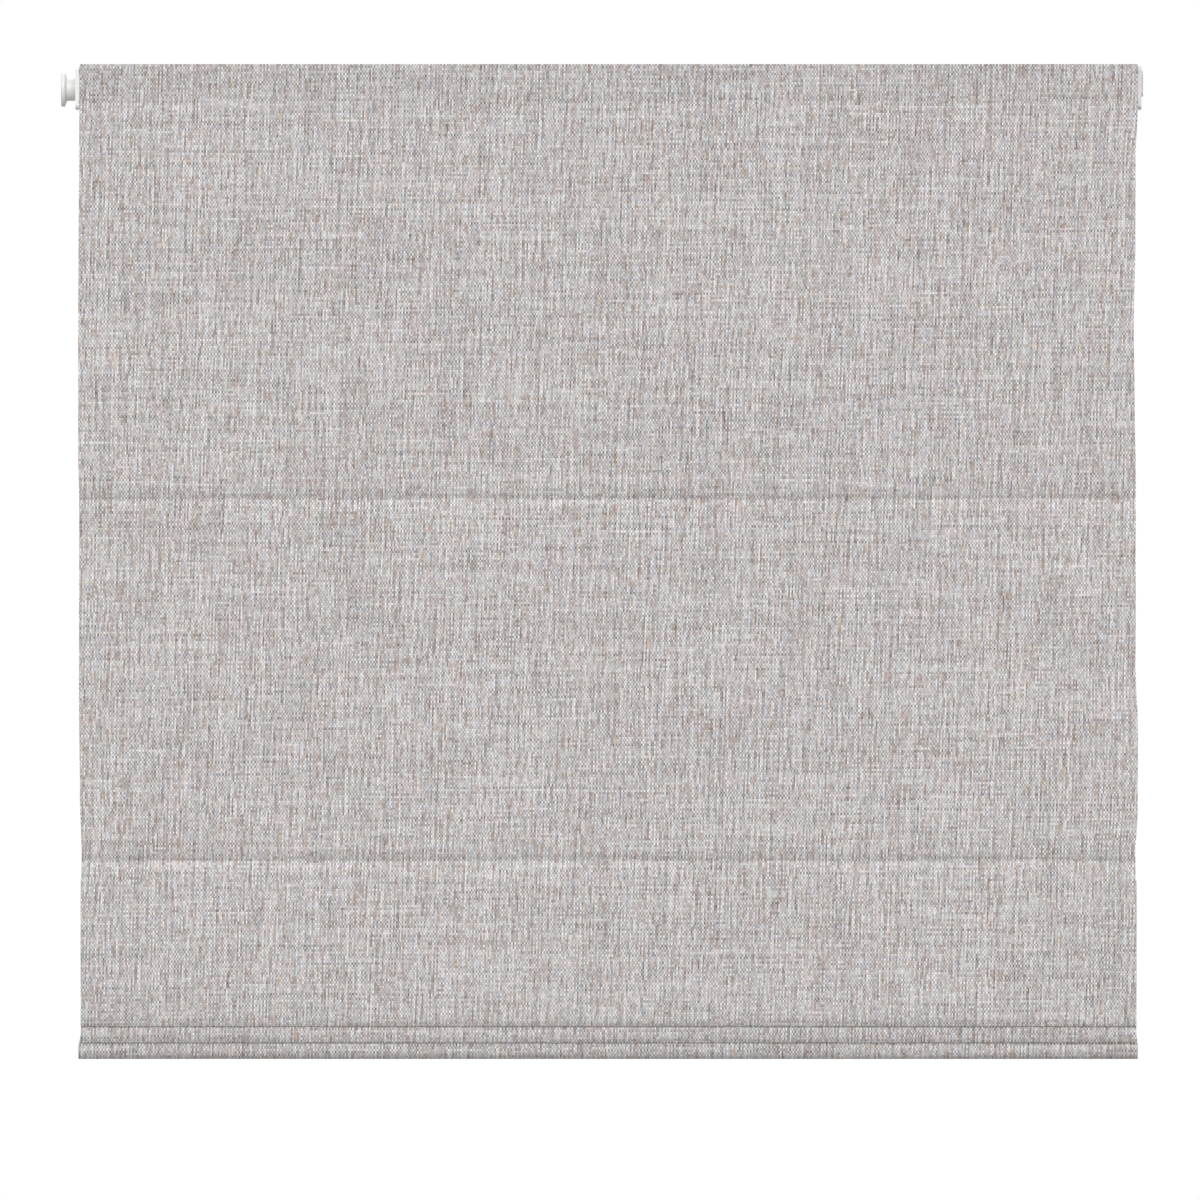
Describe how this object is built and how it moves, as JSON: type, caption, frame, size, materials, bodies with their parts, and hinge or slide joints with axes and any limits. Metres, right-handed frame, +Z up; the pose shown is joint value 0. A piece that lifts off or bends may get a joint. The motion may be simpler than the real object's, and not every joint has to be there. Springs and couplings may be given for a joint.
{
  "type": "roman blind",
  "caption": "Flat linen-look roman blind on a headrail with a control wheel, drawn part way up so that its lower cloth hangs in cascading folds in front of a weighted hem.",
  "frame": {"origin": "middle of the four wall-screw holes, on the face of the wall behind the headrail", "axes": "+X along the headrail to the right as seen from the room, +Y from the room into the wall, +Z up"},
  "size_m": [1.023, 0.0579, 0.9401],
  "materials": {
    "cloth": "heathered linen-look weave",
    "rail": "white powder coat",
    "moulding": "white moulded",
    "idle_plate": "pale grey moulded",
    "wheel": "white satin",
    "steel": "zinc plated",
    "bracket": "white coated steel",
    "hook_tape": "fine nylon hooks",
    "tape": "white woven tape",
    "rod": "white glass-fibre rod",
    "clear": "translucent moulded",
    "hem_bar": "mill finish"
  },
  "bodies": {
    "headrail": {"fabric": "cloth", "headrail": "rail", "control_end_plate": "moulding", "bracket_latch_left": "moulding", "bracket_latch_right": "moulding", "cradle_left": "moulding", "cradle_middle": "moulding", "cradle_right": "moulding", "idle_end_plate": "idle_plate", "end_plate_screws": "steel", "wall_bracket_left": "bracket", "wall_bracket_right": "bracket", "hook_tape": "hook_tape", "loop_tape": "tape"},
    "drive": {"control_wheel": "wheel", "wheel_screw": "steel", "wrap_springs": "steel", "clutch_sleeve": "moulding", "drive_shaft": "steel", "spool_left": "moulding", "spool_middle": "moulding", "spool_right": "moulding", "idle_journal": "moulding"},
    "rod_1": {"rod_1": "rod", "rod_tape_1": "tape", "rod_caps_1": "clear", "cord_rings_1": "clear"},
    "rod_2": {"rod_2": "rod", "rod_tape_2": "tape", "rod_caps_2": "clear", "cord_rings_2": "clear"},
    "rod_3": {"rod_3": "rod", "rod_tape_3": "tape", "rod_caps_3": "clear", "cord_rings_3": "clear"},
    "rod_4": {"rod_4": "rod", "rod_tape_4": "tape", "rod_caps_4": "clear", "cord_rings_4": "clear", "hem_bar": "hem_bar", "hem_bar_caps": "moulding"}
  },
  "joints": [
    {"name": "raise_first_rod", "type": "slide", "parent": "headrail", "child": "rod_1", "axis": [0, 0.0224, 0.9997], "range_m": [0, 0.35709], "deforming": ["fabric"]},
    {"name": "raise_second_rod", "type": "slide", "parent": "rod_1", "child": "rod_2", "axis": [0, 0.0365, 0.9993], "range_m": [0, 0.32942]},
    {"name": "lower_third_rod", "type": "slide", "parent": "rod_2", "child": "rod_3", "axis": [0, 0, 1], "range_m": [-0.2865, 0], "deforming": ["fabric"]},
    {"name": "lower_fourth_rod", "type": "slide", "parent": "rod_3", "child": "rod_4", "axis": [0, 0.0222, 0.9998], "range_m": [-0.28677, 0]},
    {"name": "control_wheel_turn", "type": "hinge", "parent": "headrail", "child": "drive", "pos_m": [0, -0.0259, -0.00275], "axis": [-1, 0, 0], "range_deg": [0, 4369]}
  ],
  "couplings": [
    {"joint": "raise_second_rod", "follows": "raise_first_rod", "ratio": 0.92195},
    {"joint": "control_wheel_turn", "follows": "raise_first_rod", "rad_per_m": 213.45},
    {"joint": "lower_fourth_rod", "follows": "lower_third_rod", "ratio": 1.0002}
  ]
}
